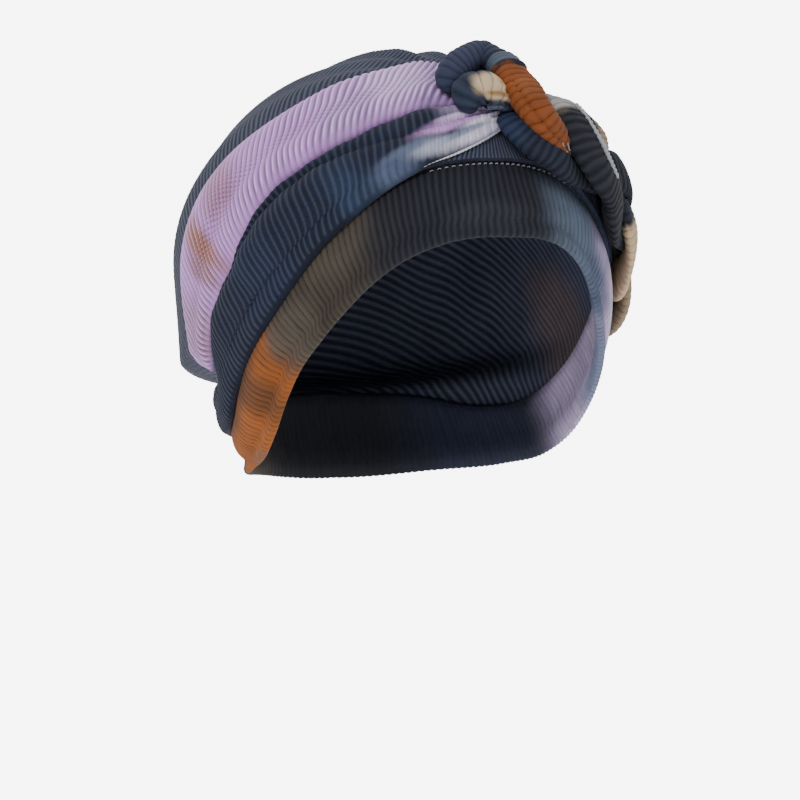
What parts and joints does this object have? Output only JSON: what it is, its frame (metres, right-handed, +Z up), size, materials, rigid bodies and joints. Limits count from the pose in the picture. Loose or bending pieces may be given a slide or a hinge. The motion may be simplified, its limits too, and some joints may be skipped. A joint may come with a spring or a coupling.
{
  "type": "turban",
  "caption": "Pre-tied stretch turban with a slouchy crown, a forehead band, two gathered wraps, and a plaited strand from a front knot to the nape.",
  "frame": {"origin": "centre of the wearer's cranium, about 34 mm above eye level, where the head holds the turban", "axes": "+Z up the wearer's head, -Y the way the face looks, +X to the wearer's left"},
  "size_m": [0.1941, 0.2366, 0.1897],
  "materials": {
    "crown": "matte",
    "forehead_band": "matte",
    "lilac_wrap": "matte",
    "navy_wrap": "matte",
    "braid_strand_rust": "matte",
    "braid_strand_navy": "matte",
    "braid_strand_beige": "matte"
  },
  "bodies": {
    "root": {"crown": "crown", "forehead_band": "forehead_band", "lilac_wrap": "lilac_wrap", "navy_wrap": "navy_wrap", "braid_strand_rust": "braid_strand_rust", "braid_strand_navy": "braid_strand_navy", "braid_strand_beige": "braid_strand_beige"}
  },
  "joints": []
}
